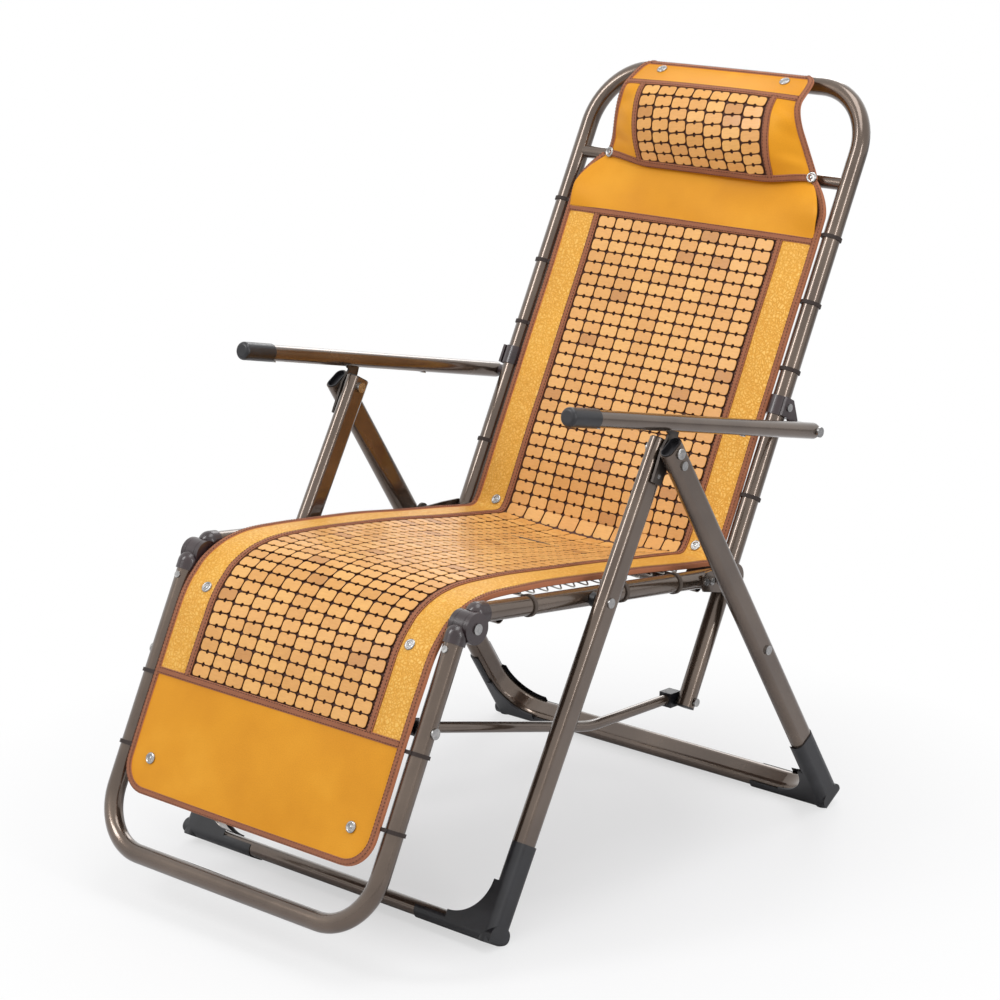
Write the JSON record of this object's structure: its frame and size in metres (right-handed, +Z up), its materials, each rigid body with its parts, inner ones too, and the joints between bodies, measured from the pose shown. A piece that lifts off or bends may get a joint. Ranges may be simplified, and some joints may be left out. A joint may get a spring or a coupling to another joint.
{
  "type": "zero gravity chair",
  "caption": "Folding recliner with a tubular steel frame, hooked armrests, linked leg rest, head pillow and a bamboo tile mat.",
  "frame": {"origin": "middle of the chair's bounding box, at floor level", "axes": "+Z up, -Y towards the foot end, +Y towards the backrest, +X to the sitter's left"},
  "size_m": [0.617, 1.0466, 0.9919],
  "materials": {
    "tube_paint": "metallic bronze-brown paint",
    "black_plastic": "black moulded plastic",
    "brown_plastic": "dark brown moulded plastic",
    "black_metal": "dark paint",
    "steel": "plated steel",
    "bamboo": "light bamboo tiles on cloth",
    "golden_leather": "golden leatherette",
    "brown_webbing": "woven brown webbing"
  },
  "bodies": {
    "front_legs": {"front_leg_frame": "tube_paint", "front_foot_left": "black_plastic", "front_foot_right": "black_plastic", "front_leg_plugs": "black_plastic", "leg_pivot_bolts": "steel", "leg_pivot_spacers": "black_plastic", "armrest_hooks": "black_metal", "hook_rivets": "steel", "rail_pivot_bolts": "steel", "rail_pivot_spacers": "black_plastic"},
    "rear_legs": {"rear_leg_frame": "tube_paint", "rear_foot_left": "black_plastic", "rear_foot_right": "black_plastic", "rear_leg_plugs": "black_plastic", "rear_leg_rivets": "steel", "link_bolts": "steel"},
    "seat": {"seat_rail_left": "tube_paint", "seat_rail_right": "tube_paint", "seat_cross_tubes": "tube_paint", "hinge_plates_left": "black_metal", "hinge_plates_right": "black_metal", "hinge_plate_rivets": "steel", "seat_knuckle_left": "brown_plastic", "seat_knuckle_right": "brown_plastic", "seat_mat": "bamboo", "seat_straps": "brown_webbing"},
    "links": {"fold_link_left": "black_metal", "fold_link_right": "black_metal", "link_pins": "steel"},
    "back_pins": {"back_pivot_bolts": "steel"},
    "back": {"back_frame": "tube_paint", "head_bar": "tube_paint", "back_tube_plugs": "black_plastic", "armrest_mount_left": "brown_plastic", "armrest_mount_right": "brown_plastic", "mount_rivets": "steel", "back_mat": "bamboo", "back_straps": "brown_webbing", "head_pillow": "golden_leather"},
    "knee_pins": {"knee_pins": "steel"},
    "leg_rest": {"leg_rest_frame": "tube_paint", "leg_rest_knuckle_left": "brown_plastic", "leg_rest_knuckle_right": "brown_plastic", "leg_rest_rivets": "steel", "rod_front_bolts": "steel", "leg_rest_mat": "bamboo", "leg_rest_straps": "brown_webbing"},
    "rod_pins": {"rod_rear_bolts": "steel"},
    "rods": {"recline_rod_left": "tube_paint", "recline_rod_right": "tube_paint", "rod_front_blocks": "black_plastic", "rod_rear_blocks": "black_plastic"},
    "arm_pins": {"armrest_bolts": "steel"},
    "armrests": {"armrest_left": "tube_paint", "armrest_right": "tube_paint", "armrest_caps": "black_plastic", "armrest_slot_strips": "black_metal", "armrest_slot_rivets": "steel"}
  },
  "joints": [
    {"name": "leg_fold", "type": "hinge", "parent": "front_legs", "child": "rear_legs", "pos_m": [0, 0.00329, 0.575], "axis": [-1, 0, 0], "range_deg": [0, 53]},
    {"name": "seat_fold", "type": "hinge", "parent": "front_legs", "child": "seat", "pos_m": [0, -0.09971, 0.3975], "axis": [-1, 0, 0], "range_deg": [-0.5, 76.5]},
    {"name": "link_fold", "type": "hinge", "parent": "rear_legs", "child": "links", "pos_m": [0, 0.19629, 0.2683], "axis": [-1, 0, 0], "range_deg": [-0.5, 121]},
    {"name": "back_fold", "type": "hinge", "parent": "seat", "child": "back_pins", "pos_m": [0, 0.19129, 0.3595], "axis": [1, 0, 0], "range_deg": [-0.5, 46.7]},
    {"name": "back_raise", "type": "hinge", "parent": "back_pins", "child": "back", "pos_m": [0, 0.19129, 0.3595], "axis": [1, 0, 0], "range_deg": [-28, 14]},
    {"name": "knee_fold", "type": "hinge", "parent": "seat", "child": "knee_pins", "pos_m": [0, -0.32071, 0.4115], "axis": [1, 0, 0], "range_deg": [-0.5, 65.7]},
    {"name": "leg_rest_tilt", "type": "hinge", "parent": "knee_pins", "child": "leg_rest", "pos_m": [0, -0.32071, 0.4115], "axis": [1, 0, 0], "range_deg": [-41.2, 20.8]},
    {"name": "rod_fold", "type": "hinge", "parent": "back", "child": "rod_pins", "pos_m": [0, 0.11229, 0.204], "axis": [-1, 0, 0], "range_deg": [-0.5, 52.2]},
    {"name": "rod_tilt", "type": "hinge", "parent": "rod_pins", "child": "rods", "pos_m": [0, 0.11229, 0.204], "axis": [-1, 0, 0], "range_deg": [-26.5, 13.5]},
    {"name": "arm_fold", "type": "hinge", "parent": "back", "child": "arm_pins", "pos_m": [0, 0.31329, 0.5435], "axis": [-1, 0, 0], "range_deg": [-0.5, 43.2]},
    {"name": "arm_tilt", "type": "hinge", "parent": "arm_pins", "child": "armrests", "pos_m": [0, 0.31329, 0.5435], "axis": [-1, 0, 0], "range_deg": [-19.8, 10.1]}
  ],
  "couplings": [
    {"joint": "seat_fold", "follows": "leg_fold", "ratio": 1.4296},
    {"joint": "link_fold", "follows": "leg_fold", "ratio": 2.2679},
    {"joint": "back_fold", "follows": "leg_fold", "ratio": 0.8679},
    {"joint": "knee_fold", "follows": "leg_fold", "ratio": 1.2264},
    {"joint": "rod_fold", "follows": "leg_fold", "ratio": 0.9717},
    {"joint": "arm_fold", "follows": "leg_fold", "ratio": 0.8019},
    {"joint": "leg_rest_tilt", "follows": "back_raise", "ratio": 1.45},
    {"joint": "rod_tilt", "follows": "back_raise", "ratio": 0.93},
    {"joint": "arm_tilt", "follows": "back_raise", "ratio": 0.69}
  ]
}
